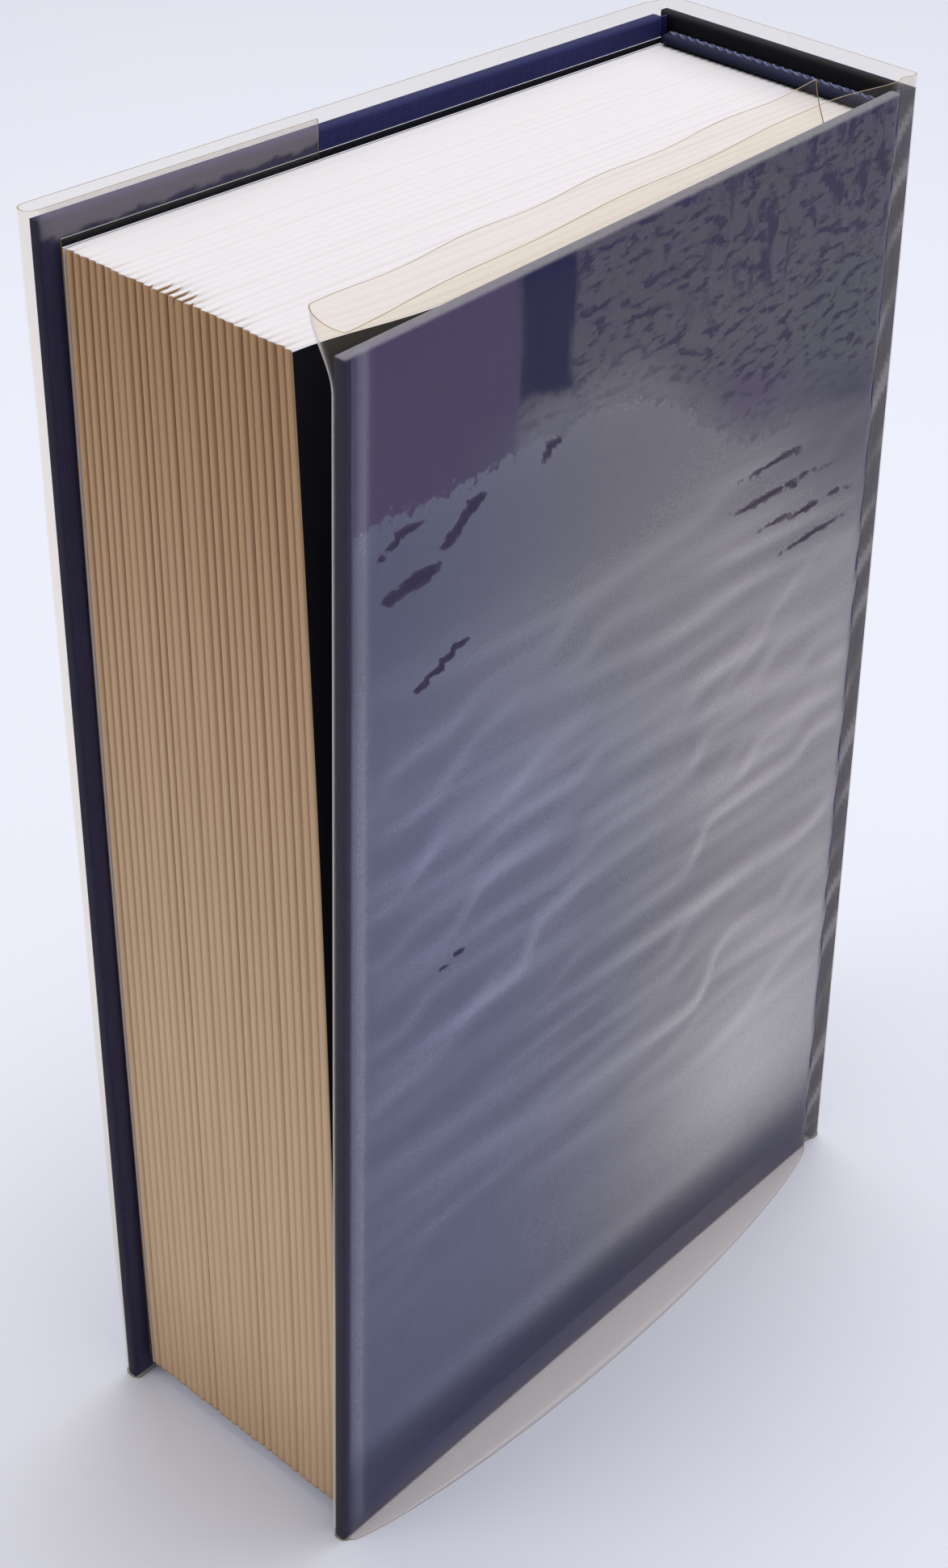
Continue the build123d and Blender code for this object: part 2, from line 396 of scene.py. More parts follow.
def pages_material():
    """The text block: white cut pages at the head and tail, browned and ridged at the fore edge, with painted shade on
    the ridges and in the steps between signatures.
    """
    made, tree, shader = new_material("pages")
    flat = add(tree, "Attribute", attribute_name="flat").outputs["Vector"]
    axes = add(tree, "SeparateXYZ", {"Vector": flat}).outputs
    tone = add(tree, "Attribute", attribute_name="tone")
    parts = add(tree, "SeparateColor", {"Color": tone.outputs["Color"]}).outputs
    ridge, groove, high = parts[0], parts[1], parts[2]
    upward = add(tree, "SeparateXYZ", {"Vector": add(tree, "NewGeometry").outputs["True Normal"]}).outputs["Z"]
    is_fore = maths(tree, "LESS_THAN", maths(tree, "ABSOLUTE", upward), 0.55)
    leaves = noise(tree, scaled(tree, flat, (0.02, 7.0, 0.01)), 1.0, 3.0, 0.6).outputs["Fac"]
    fine = noise(tree, scaled(tree, flat, (0.05, 2.2, 0.02)), 1.0, 4.0, 0.6).outputs["Fac"]
    stain = noise(tree, scaled(tree, flat, (0.03, 0.12, 0.03)), 1.0, 3.0).outputs["Fac"]
    # Painted shade: the fore edge is darker towards the tail; it is also darker and browner towards the head.
    fore = ramp(tree, high, [
        (0.0, (0.50, 0.335, 0.195)), (0.12, (0.62, 0.44, 0.28)), (0.35, (0.64, 0.45, 0.285)),
        (0.7, (0.56, 0.365, 0.21)), (0.93, (0.44, 0.26, 0.12)), (1.0, (0.40, 0.22, 0.095)),
    ])
    fore = mix_colour(tree, maths(tree, "MULTIPLY", leaves, 0.35), fore, (0.72, 0.55, 0.40))
    fore = mix_colour(tree, maths(tree, "MULTIPLY", stain, 0.25), fore, (0.40, 0.24, 0.13))
    # Painted shade on one side of each rounded ridge of the fore edge, darker towards the head.
    painted_shade_colour = mix_colour(tree, high, (0.30, 0.18, 0.10), (0.13, 0.065, 0.03))
    fore = mix_colour(tree, ridge, fore, painted_shade_colour)
    head = mix_colour(tree, ramp_value(tree, leaves, 0.50, 0.75), (0.72, 0.70, 0.725), (0.60, 0.52, 0.50))
    head = mix_colour(tree, maths(tree, "MULTIPLY", fine, 0.12), head, (0.66, 0.60, 0.57))
    # Painted shade in the steps between signatures at the head and tail.
    head = mix_colour(tree, groove, head, (0.42, 0.33, 0.27))
    base = mix_colour(tree, is_fore, head, fore)
    tree.links.new(base, shader.inputs["Base Color"])
    shader.inputs["Roughness"].default_value = 0.9
    shader.inputs["Specular IOR Level"].default_value = 0.25
    bump(tree, shader, maths(tree, "ADD", leaves, fine), 0.5, 0.12)
    return made


def bead_material():
    """The twisted cord of a headband: navy with pale turns of thread, slanted round it."""
    made, tree, shader = new_material("bead")
    place = add(tree, "Attribute", attribute_name="flat").outputs["Vector"]
    turns = add(
        tree, "TexWave", {"Vector": place, "Scale": 0.30, "Distortion": 0.6, "Detail": 1.0},
        wave_type="BANDS", bands_direction="DIAGONAL",
    ).outputs["Fac"]
    tree.links.new(
        ramp(tree, turns, [(0.0, (0.004, 0.005, 0.025)), (0.70, (0.010, 0.014, 0.065)), (0.97, (0.09, 0.12, 0.32))]),
        shader.inputs["Base Color"],
    )
    shader.inputs["Roughness"].default_value = 0.5
    bump(tree, shader, turns, 0.8, 0.2)
    return made


def between(tree, value, low, high):
    """0 below low and 1 above high, as a node."""
    return add(tree, "MapRange", {"Value": value, "From Min": low, "From Max": high}).outputs["Result"]


def film_material(name):
    """Clear film. A veil hides what is behind it by its own alpha, where the film stands off the cloth.
    Where it clings, a second veil takes over, in a ragged field with streaks up and down. Seen
    edge on, both take a faint shine."""
    made, tree, shader = new_material(name)
    veil = add(tree, "Attribute", attribute_name="veil").outputs
    cling = add(tree, "Attribute", attribute_name="cling").outputs
    stuck = add(tree, "Attribute", attribute_name="stuck").outputs["Fac"]
    blotch = add(tree, "Attribute", attribute_name="blotch").outputs["Fac"]
    flat = add(tree, "Attribute", attribute_name="flat").outputs["Vector"]
    fine = noise(tree, flat, 0.55, 6.0, 0.62).outputs["Fac"]
    grain = noise(tree, flat, 2.6, 4.0, 0.6).outputs["Fac"]
    drips = noise(tree, scaled(tree, flat, (0.26, 0.13, 0.0)), 1.0, 5.0, 0.55).outputs["Fac"]
    flecks = noise(tree, scaled(tree, flat, (0.24, 0.58, 0.0)), 1.0, 6.0, 0.60).outputs["Fac"]
    border = maths(tree, "MULTIPLY", maths(tree, "SUBTRACT", fine, 0.5), 1.3)
    is_stuck = between(tree, maths(tree, "ADD", stuck, border), 0.46, 0.54)
    along = add(tree, "SeparateXYZ", {"Vector": flat}).outputs
    high_up = between(tree, along["Y"], 194.0, 204.0)
    spineward = between(tree, maths(tree, "MULTIPLY", along["X"], -1.0), 0.0, 30.0)
    dripped = maths(tree, "MULTIPLY", between(tree, drips, 0.53, 0.60), maths(tree, "MULTIPLY", high_up, spineward))
    streaked = maths(tree, "MAXIMUM", dripped, between(tree, flecks, 0.51, 0.60))
    streaked = maths(tree, "MULTIPLY", streaked, blotch)
    thin = maths(tree, "SUBTRACT", 1.0, maths(tree, "MULTIPLY", streaked, 0.52))
    clinging = maths(tree, "MULTIPLY", cling["Alpha"], thin)
    cling_colour = mix_colour(tree, streaked, cling["Color"], (0.36, 0.25, 0.33))
    alpha = mix_value(tree, is_stuck, veil["Alpha"], clinging)
    grain_amount = add(
        tree, "MapRange", {"Value": grain, "From Min": 0.25, "From Max": 0.75, "To Min": 0.84, "To Max": 1.16},
    ).outputs["Result"]
    alpha = maths(tree, "MULTIPLY", alpha, grain_amount, True)
    tree.links.new(mix_colour(tree, is_stuck, veil["Color"], cling_colour), shader.inputs["Base Color"])
    shader.inputs["Metallic"].default_value = 0.55
    shader.inputs["Roughness"].default_value = 0.34
    shader.inputs["Specular IOR Level"].default_value = 0.4
    clear = add(tree, "BsdfTransparent", {"Color": (0.985, 0.970, 0.940, 1)})
    body = add(tree, "MixShader", {0: alpha, 1: clear.outputs[0], 2: shader.outputs[0]})
    shine = add(tree, "BsdfGlossy", {"Color": (1, 1, 1, 1), "Roughness": 0.12})
    edge_on = add(tree, "LayerWeight", {"Blend": 0.5}).outputs["Facing"]
    rim_light = maths(tree, "MULTIPLY", maths(tree, "POWER", edge_on, 5.0), 0.16)
    whole = add(tree, "MixShader", {0: rim_light, 1: body.outputs[0], 2: shine.outputs[0]})
    tree.links.new(whole.outputs[0], tree.nodes["Material Output"].inputs["Surface"])
    return made


def mix_value(tree, factor, first, second):
    made = add(tree, "Mix", data_type="FLOAT")
    for socket, value in zip(made.inputs[:1] + made.inputs[2:4], (factor, first, second)):
        tree.links.new(value, socket)
    return made.outputs[0]


def film_edge_material():
    """The film's cut edge, which gathers its yellow."""
    made, tree, shader = new_material("film_edge")
    flat = add(tree, "Attribute", attribute_name="flat").outputs["Vector"]
    worn = noise(tree, flat, 0.2, 3.0).outputs["Fac"]
    base = mix_colour(tree, worn, (0.17, 0.10, 0.04), (0.38, 0.26, 0.12))
    tree.links.new(base, shader.inputs["Base Color"])
    shader.inputs["Roughness"].default_value = 0.35
    return made


def board_material():
    made, tree, shader = new_material("board")
    place = scaled(tree, add(tree, "TexCoord").outputs["Object"], (1 / MM,) * 3)
    pulp = noise(tree, place, 0.8, 6.0, 0.65).outputs["Fac"]
    tree.links.new(ramp(tree, pulp, [(0.3, (0.3, 0.28, 0.25)), (0.7, (0.5, 0.48, 0.43))]), shader.inputs["Base Color"])
    shader.inputs["Roughness"].default_value = 0.9
    bump(tree, shader, pulp, 0.4, 0.1)
    return made


NAVY = (0.014, 0.016, 0.082)
NAVY_PALE = (0.034, 0.039, 0.158)
materials = {
    "cloth": cloth_material("cloth", NAVY, NAVY_PALE),
    "sheen_rubbed_cloth": cloth_material("sheen_rubbed_cloth", NAVY, NAVY_PALE, 0.0, HEIGHT - 0.35),
    "spine_cloth": cloth_material("spine_cloth", NAVY, NAVY_PALE, 0.45),
    "band": cloth_material("band", (0.004, 0.005, 0.022), (0.010, 0.013, 0.055)),
    "bead": bead_material(),
    "lining": paper_material("lining", (0.78, 0.74, 0.66)),
    "endpaper_front": endpaper_material("endpaper_front", -1),
    "endpaper_back": endpaper_material("endpaper_back", 1),
    "pages": pages_material(),
    "film": film_material("film"),
    "film_edge": film_edge_material(),
    "board": board_material(),
}


def finish_piece(piece, slots, body, replaced=()):
    for key in slots:
        piece.data.materials.append(materials[key])
    if body:
        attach(piece, body)
    if replaced:
        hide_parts(*replaced)
    return piece


# ---------------------------------------------------------------- cloth case

def cover_place(side):
    return lambda x, z, depth: (x, face_y(side, x, z, depth), z)


def make_covers():
    edge_radius = 0.75
    for side in (FRONT, BACK):
        name = SIDE_NAMES[side]
        piece = slab(f"{name}_cloth_case", (BOARD_X - 0.4, FORE_X), (0, HEIGHT), COVER_DEPTH, edge_radius, cover_place(side))
        key = "sheen_rubbed_cloth" if side == BACK else "cloth"
        finish_piece(piece, [key], f"{name}_cover", [f"{name}_cloth"])


def make_spine():
    depth = strip_box[1][0] - SPINE_X + 0.4
    piece = slab(
        "spine_cloth_case", (MIDDLE_Y - HALF, MIDDLE_Y + HALF), (0, HEIGHT), depth, 0.6,
        lambda y, z, d: (SPINE_X + d, y, z), steps=(16, 40),
    )
    finish_piece(piece, ["spine_cloth"], ROOT, ["spine_cloth"])


def make_joint_cloths():
    """The cloth between the spine and each board, pressed into a groove."""
    start, end = SPINE_X + 0.5, BOARD_X + 0.5
    x = np.linspace(start, end, 13)
    z = np.linspace(0.4, HEIGHT - 0.4, 45)
    groove = 1.3 * np.sin(np.pi * (x - start) / (end - start)) ** 1.5 + 0.3
    for side in (FRONT, BACK):
        xs, zs = np.meshgrid(x, z)
        depths = np.broadcast_to(groove, xs.shape)
        outer = np.stack([xs, face_y(side, xs, zs, depths), zs], -1)
        inner = np.stack([xs, face_y(side, xs, zs, depths + 0.45), zs], -1)
        flat = np.stack([xs, zs, depths], -1)
        name = SIDE_NAMES[side]
        piece = sheet_solid(f"{name}_joint_cloth", outer, inner, flat)
        finish_piece(piece, ["cloth", "cloth"], None)
        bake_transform(piece)


# ---------------------------------------------------------------- text block

SIGNATURES = 28
block_corner = {
    (side, end): cad_corner("text_block", 1, end, side)[1] for side in (FRONT, BACK) for end in (-1, 1)
}
block_half = (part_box("headband")[1][1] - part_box("headband")[0][1]) / 2 / MM + 0.6


def block_side(side, high):
    """Y of the text block's fore corner at a share of its height, with the bow that the CAD part has."""
    tail, head = block_corner[(side, -1)], block_corner[(side, 1)]
    reach = block_box[1][1] if side == BACK else block_box[0][1]
    bow = {FRONT: 0.8, BACK: 1.5}[side]
    return tail + (head - tail) * high + side * bow * 4 * high * (1 - high)


def swell(along, high, across):
    """How far the last leaves belly out towards the back cover, a little in from the fore edge."""
    inward = 1 - along
    shape = smooth(inward, 0, 0.2) * (1 - smooth(inward, 0.25, 0.75))
    return 3.3 * shape * np.clip(high, 0, 1) ** 1.5 * smooth(across, 0.72, 1.0)


def signature_profile(across):
    """Where a point across the thickness lies in its signature, from 0 to 1, and the signature's number."""
    place = np.clip(across, 0, 1) * SIGNATURES
    number = np.minimum(place.astype(int), SIGNATURES - 1)
    return place - number, number


def make_text_block():
    per_signature = 9
    inside = (np.arange(per_signature) / per_signature)
    across = np.concatenate([(k + inside) / SIGNATURES for k in range(SIGNATURES)] + [[1.0]])
    along = np.array([
        0, 0.1, 0.2, 0.3, 0.4, 0.5, 0.58, 0.65, 0.7, 0.75, 0.79, 0.82, 0.85, 0.88, 0.91, 0.935, 0.955, 0.972,
        0.984, 0.992, 0.997, 1.0,
    ])
    high = np.concatenate([[0, 0.004, 0.012], np.linspace(0.025, 0.975, 58), [0.985, 0.993, 0.998, 1.0]])
    offsets = rng.normal(0, 0.10, SIGNATURES)
    strong = np.clip(rng.normal(1.0, 0.75, SIGNATURES + 1), 0.1, 3.0)
    notch = np.clip(rng.normal(0.7, 0.35, SIGNATURES + 1), 0.2, 1.6)
    open_gaps = np.exp(-((np.arange(SIGNATURES + 1) - 13.5) / 2.6) ** 2)
    place, number = signature_profile(across)
    edge_distance = np.minimum(place, 1 - place)
    groove = np.exp(-((edge_distance / 0.15) ** 2))
    # Painted shade across each signature: dark in the grooves between signatures and on one side of each rounded
    # ridge.
    shade = 0.5 * groove + 0.5 * (0.5 + 0.5 * np.cos(2 * math.pi * (place + 0.08)))
    nearest = np.where(place < 0.5, number, number + 1)
    nearest[-1] = SIGNATURES

    def points_at(a, t, c):
        """Points for arrays of the three shares: spine to fore edge, front to back, tail to head."""
        index = np.rint(t * (len(across) - 1)).astype(int)
        spine_y = MIDDLE_Y + (2 * across[index] - 1) * block_half
        fore_y = block_side(FRONT, c) + (block_side(BACK, c) - block_side(FRONT, c)) * across[index]
        strength = 0.55 + 0.45 * smooth(c, 0.2, 1.0)
        local = groove[index]
        ridge = -0.62 * local * notch[nearest[index]] + 0.42 * (0.5 - place[index]) + offsets[number[index]]
        last = smooth(a, 0.985, 1.0)
        x = BLOCK_X + (BLOCK_FORE_X - BLOCK_X) * a + ridge * strength * last - 0.1 * last
        y = spine_y + (fore_y - spine_y) * a + swell(a, c, across[index])
        z = BLOCK_TAIL + (BLOCK_HEAD - BLOCK_TAIL) * c
        gap = open_gaps[nearest[index]] * smooth(a, 0.955, 0.985) + 0.12 + 0.35 * smooth(a, 0.985, 1)
        z = z - np.where(c > 0.999, 0.8 * gap * local, 0) + np.where(c < 0.001, 0.3 * gap * local, 0)
        return np.stack([x, y, z], -1), (shade[index], local, strong[nearest[index]]), c

    t_shares = np.arange(len(across)) / (len(across) - 1)
    sides = []
    for fixed, value in (("a", 1.0), ("a", 0.0), ("c", 1.0), ("c", 0.0), ("t", 0.0), ("t", 1.0)):
        if fixed == "a":
            c, t = np.meshgrid(high, t_shares, indexing="ij")
            a = np.full_like(c, value)
        elif fixed == "c":
            a, t = np.meshgrid(along, t_shares, indexing="ij")
            c = np.full_like(a, value)
        else:
            a, c = np.meshgrid(along, high, indexing="ij")
            t = np.full_like(a, value)
        sides.append((fixed, value, *points_at(a, t, c), a))
    points, faces, flat, tone = [], [], [], []
    start = 0
    for fixed, value, place_at, local, c, a in sides:
        rows, columns = place_at.shape[:2]
        faces += grid_faces(rows, columns, start)
        start += rows * columns
        points.append(place_at.reshape(-1, 3))
        flat.append(place_at.reshape(-1, 3))
        # The tone attribute carries painted shade for the pages material: on the fore-edge ridges and in the grooves
        # between signatures, stronger towards the fore edge.
        ridge = local[0] * (0.40 + 0.45 * c)
        clearer = 0.45 + 0.55 * (smooth(c, 0.6, 0.85) + 1 - smooth(c, 0.05, 0.3))
        groove_shade = local[1] * (0.07 + 0.25 * clearer * smooth(a, 0.965, 0.99)) * local[2]
        tone.append(np.stack([ridge, groove_shade, c, np.ones(c.shape)], -1).reshape(-1, 4))
    attributes = [
        ("flat", "FLOAT_VECTOR", np.concatenate(flat)),
        ("tone", "FLOAT_COLOR", np.concatenate(tone)),
    ]
    piece = make_mesh("text_block_pages", np.concatenate(points), faces, attributes, sharp=60)
    weld(piece, 0.002)
    finish_piece(piece, ["pages"], ROOT, ["text_block"])


def make_back_flyleaf():
    """The last leaf, which follows the text block's swollen side."""
    along = np.linspace(0, 1, 40)
    high = np.linspace(0, 1, 60)
    a, c = np.meshgrid(along, high)
    fore_y = block_side(BACK, c)
    spine_y = MIDDLE_Y + block_half
    leaf_box = [np.array(corner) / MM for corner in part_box("back_flyleaf")]
    x = leaf_box[0][0] + (leaf_box[1][0] - leaf_box[0][0]) * a
    y = spine_y + (fore_y - spine_y) * a + swell(a, c, 1.0)
    z = BLOCK_TAIL + (BLOCK_HEAD - BLOCK_TAIL) * c
    flat = np.stack([x, z, np.zeros_like(x)], -1)
    outer = np.stack([x, y + 0.32, z], -1)
    inner = np.stack([x, y + 0.10, z], -1)
    piece = sheet_solid("back_flyleaf_sheet", outer, inner, flat)
    finish_piece(piece, ["endpaper_back", "endpaper_back"], ROOT, ["back_flyleaf"])


def weld(piece, distance):
    import bmesh
    work = bmesh.new()
    work.from_mesh(piece.data)
    bmesh.ops.remove_doubles(work, verts=work.verts, dist=distance * MM)
    bmesh.ops.recalc_face_normals(work, faces=work.faces)
    work.to_mesh(piece.data)
    work.free()


# ---------------------------------------------------------------- headbands

def make_band(end):
    """A navy roll on the edge of the text block's back, with a twisted cord along its outer side."""
    out = {"head": 1, "tail": -1}[end]
    edge_z = {"head": BLOCK_HEAD, "tail": BLOCK_TAIL}[end]
    low_y, high_y = MIDDLE_Y - block_half + 0.6, MIDDLE_Y + block_half - 0.6
    y = np.linspace(low_y, high_y, 240)
    turn = np.linspace(0, 2 * math.pi, 22, endpoint=False)
    points, faces, flat = [], [], []

    def tube(centre_x, centre_z, across, high, lobes, pitch, depth):
        start = len(points)
        for row in y:
            for angle in turn:
                swell = 1 + depth * math.cos(lobes * (angle - 2 * math.pi * (row - low_y) / (pitch * lobes)))
                points.append((centre_x + across * swell * math.cos(angle), row, centre_z + high * swell * math.sin(angle)))
                flat.append((angle * 1.2, row, 0))
        rows, columns = len(y), len(turn)
        for j in range(rows - 1):
            for i in range(columns):
                n = (i + 1) % columns
                faces.append([start + j * columns + i, start + j * columns + n, start + (j + 1) * columns + n, start + (j + 1) * columns + i])
        faces.append([start + i for i in range(columns)])
        faces.append([start + (rows - 1) * columns + i for i in range(columns)][::-1])

    tube(BLOCK_X - 0.35, edge_z + out * 0.95, 1.15, 0.9, 1, 50, 0.0)
    band_faces = len(faces)
    tube(BLOCK_X - 1.25, edge_z + out * 1.45, 0.62, 0.62, 2, 1.7, 0.16)
    slots = [0] * band_faces + [1] * (len(faces) - band_faces)
    piece = make_mesh(f"{end}band_cord", points, faces, [("flat", "FLOAT_VECTOR", flat)], slots, sharp=60)
    fix_normals(piece)
    finish_piece(piece, ["band", "bead"], ROOT, [f"{end}band"])


# ---------------------------------------------------------------- film jacket

FILM = 0.2


def crease(x, z, at, length, width, fall, jog=0.0, jog_width=3.0):
    """Height 0 to 1 of one crease through the point at. It runs towards the spine, dropping fall mm in
    every mm, and steps up by jog mm in the middle."""
    run = at[0] - x
    line = at[1] - fall * run + jog * 0.5 * np.tanh(run / jog_width)
    slope = -fall + jog * 0.5 / jog_width / np.cosh(np.clip(run / jog_width, -20, 20)) ** 2
    away = (z - line) / np.sqrt(1 + slope**2)
    along = np.clip(1 - (run / (length / 2)) ** 2, 0, None)
    return np.exp(-((away / width) ** 2)) * along


def wrinkles(x, z):
    """Height of the creases in the back film, in millimetres."""
    height = np.zeros_like(x)
    draw = np.random.default_rng(21)
    # Slack folds lie nearly level, one above the other. Some step up in an S where two folds join.
    for row in range(25):
        level = 34 + row * 5.6
        amount = 0.17 * smooth(level, 30, 70) * (1 - 0.5 * smooth(level, 140, 170))
        for at_x in (50, 14, -20, -52):
            place = (at_x + draw.normal(0, 7), level + draw.normal(0, 1.3))
            jog = draw.uniform(3, 6) * (draw.random() < 0.35)
            height += amount * draw.uniform(0.5, 1.5) * crease(
                x, z, place, draw.uniform(44, 84), draw.uniform(1.3, 2.3),
                draw.uniform(-0.06, 0.10), jog, draw.uniform(2.4, 4.5),
            )
    main = (
        (38, 128, 60, 1.5, 0.02, 3, 5, 0.34), (26, 102, 90, 1.3, -0.02, 9, 2.6, 0.42),
        (42, 118, 52, 1.3, 0.04, 8, 4, 0.36), (-20, 97, 56, 1.2, -0.02, 8, 2.6, 0.38),
        (-26, 66, 40, 1.1, 0.02, 12, 3.2, 0.42), (-14, 84, 110, 1.3, 0.03, 0, 3, 0.34),
        (46, 146, 40, 1.3, -0.18, 5, 5, 0.28), (30, 136, 40, 1.3, -0.1, 4, 5, 0.3),
        (-10, 117, 80, 1.4, 0.08, 0, 3, 0.3), (-34, 108, 60, 1.2, 0.0, 6, 3, 0.3),
        (-44, 151, 60, 1.2, 0.1, 0, 3, 0.32), (-44, 144, 60, 1.2, 0.1, 0, 3, 0.3),
        (-36, 134, 40, 1.0, -0.5, 3, 3, 0.22), (-44, 52, 44, 1.4, -0.25, 3, 4, 0.2),
        (15, 19, 118, 3.0, 0.02, 1, 20, 0.40), (18, 64, 90, 2.6, 0.12, 0, 3, 0.22),
    )
    for at_x, at_z, length, width, fall, jog, jog_width, tall in main:
        height += 0.68 * tall * crease(x, z, (at_x, at_z), length, 1.2 * width, fall, jog, jog_width)
    return height


def ragged(x, z, seed, scale):
    """A rough field about 0, from a few layers of sines, for uneven borders."""
    draw = np.random.default_rng(seed)
    total = np.zeros_like(x)
    for layer in range(5):
        wave = scale / 1.9**layer
        turn = draw.uniform(0, math.pi)
        phase = draw.uniform(0, 6)
        other = draw.uniform(0, 6)
        along = x * math.cos(turn) + z * math.sin(turn)
        across = z * math.cos(turn) - x * math.sin(turn)
        total += np.sin(along / wave + phase + 1.5 * np.sin(across / wave / 1.3 + other)) / 1.6**layer
    return total / 2


def blend_colour(first, second, share):
    return first + (np.array(second) - first) * share[..., None]


def spot(x, z, at_x, at_z, wide, tall):
    return np.exp(-(((x - at_x) / wide) ** 2) - (((z - at_z) / tall) ** 2))


def back_veil(x, z, height):
    """The back film's haze: colour and cover where it stands off the cloth, the same where it clings, how
    far it clings and how far that part is blotched. The haze also carries painted highlights and painted reflection."""
    to_spine = (FORE_X - x) / WIDTH
    warmth = smooth(to_spine + 0.18 * smooth(z, 120, 170), 0.15, 0.75)
    colour = blend_colour(np.broadcast_to(np.array([0.50, 0.53, 0.72]), (*x.shape, 3)), (0.66, 0.615, 0.605), warmth)
    # Painted reflection: the veil is paler low on the cover towards the spine.
    colour = blend_colour(colour, (0.92, 0.87, 0.86), 0.8 * spot(x, z, -38, 34, 30, 24))
    alpha = 0.35 + 0.36 * to_spine * smooth(z, 8, 34) - 0.12 * spot(x, z, 5, 85, 45, 40)
    # Painted reflection: the veil is thicker in the same low patch.
    alpha = alpha + 0.20 * spot(x, z, -38, 34, 30, 22)
    alpha = alpha * (1 - 0.22 * smooth(z, 150, 180))
    alpha = alpha - 0.38 * smooth(z, 130, 156) * smooth(to_spine, 0.60, 0.95)
    # The tail band is clearer below a soft ragged line: a painted reflection of the shadowed floor, darker there
    alpha = alpha * (0.42 + 0.58 * smooth(z - 3 * ragged(x, z, 3, 40), 9, 21))
    # The veil is thicker on the film's ridges and thinner between them, where the film is closer to the cloth: partly
    # the haze of film standing off the cloth, partly a painted highlight on the creases
    lift_and_highlight = (height - 0.22) * (1 - 0.6 * smooth(z, 185, 200))
    alpha = alpha * np.clip(1 + 1.3 * lift_and_highlight, 0.5, 1.45)
    # A pale band where the film rolls round beside the fore edge: a painted highlight
    roll = np.exp(-(((x - FORE_X + 3.2) / 1.1) ** 2))
    alpha = alpha + 0.12 * roll
    colour = blend_colour(colour, (0.66, 0.66, 0.74), roll)
    veil = np.concatenate([colour, np.clip(alpha, 0.004, 0.9)[..., None]], -1)
    # Towards the head the film clings to the cloth, smooth and purple near the fore edge
    border = 194 - 21 * smooth(to_spine, 0.42, 0.72) - 6 * smooth(to_spine, 0.8, 1.0)
    stuck = np.clip(0.5 + (z - border) / 9 + 0.10 * ragged(x, z, 11, 7.0), 0, 1)
    left = smooth(x + 0.6 * ragged(x, z, 23, 2.5), 32.4, 34.0)
    patch = smooth(x + 1.0 * ragged(x, z, 11, 5.0), 19.6, 21.4) * (1 - left)
    patch = patch * smooth(z + 1.6 * ragged(x, z, 13, 4.0), 200.0, 202.0)
    grey = 0.22 - 0.03 * smooth(z, 196, 212)
    near_border = (1 - smooth(z - border, 1, 10)) * smooth(to_spine, 0.14, 0.3)
    grey = grey + (0.86 * np.clip(alpha, 0, 0.6) - grey) * near_border
    cling_alpha = (grey + (0.15 - grey) * left) * (1 - 0.96 * patch)
    purple = (0.50, 0.34, 0.55)
    cling_colour = blend_colour(np.broadcast_to(np.array([0.50, 0.455, 0.44]), (*x.shape, 3)), purple, left)
    cling_colour = blend_colour(cling_colour, (0.40, 0.46, 0.42), spot(x, z, -52, 186, 13, 14) * (1 - left))
    cling_colour = blend_colour(cling_colour, (0.38, 0.27, 0.46), 0.8 * spot(x, z, -26, 178, 12, 8))
    cling_colour = cling_colour + (colour - cling_colour) * (0.8 * near_border)[..., None]
    blotch = (1 - left) * (1 - patch) * (0.2 + 0.8 * smooth(z - border, 0, 14))
    # A few places further down where the film touches the cloth on its own
    contact = np.zeros_like(x)
    for at_x, at_z, length, width, fall in (
        (59, 190.5, 13, 0.75, -0.10), (45, 188, 13, 1.1, -0.42), (56.5, 182, 16, 1.25, 0.0),
        (50, 165.5, 17, 0.7, -0.22), (45, 110, 9, 0.45, -0.05), (24, 193, 9, 1.0, -0.5),
    ):
        core = crease(x, z + 0.5 * ragged(x, z, 29, 2.2), (at_x, at_z), length, width, fall, 1.2, length / 5)
        contact = np.maximum(contact, core)
    for at_x, at_z, length, width, fall in (
        (-38, 160, 46, 1.0, 0.10), (-46, 153.5, 46, 0.9, 0.12), (-50, 147, 36, 0.8, 0.1), (-36, 166, 32, 0.9, 0.08),
    ):
        soft = 0.6 * crease(x, z + 0.5 * ragged(x, z, 29, 2.2), (at_x, at_z), length, width, fall, 1.2, 6)
        contact = np.maximum(contact, soft)
    touching = smooth(contact, 0.2, 0.6)
    cling_alpha = cling_alpha + (0.05 - cling_alpha) * touching * (stuck < 0.4)
    cling_colour = blend_colour(cling_colour, (0.40, 0.24, 0.22), touching * (stuck < 0.4))
    stuck = np.maximum(stuck, np.clip(contact * 1.5, 0, 1))
    # Painted highlight: the same pale band beside the fore edge where the film clings.
    cling_alpha = cling_alpha + 0.16 * roll
    cling_colour = blend_colour(cling_colour, (0.60, 0.58, 0.68), roll)
    blotch = blotch * (1 - roll)
    cling = np.concatenate([cling_colour, np.clip(cling_alpha, 0.003, 0.9)[..., None]], -1)
    return veil, cling, stuck, blotch


def plain_veil(shape, colour, alpha):
    return np.broadcast_to(np.array([*colour, alpha]), (*shape, 4)).copy()


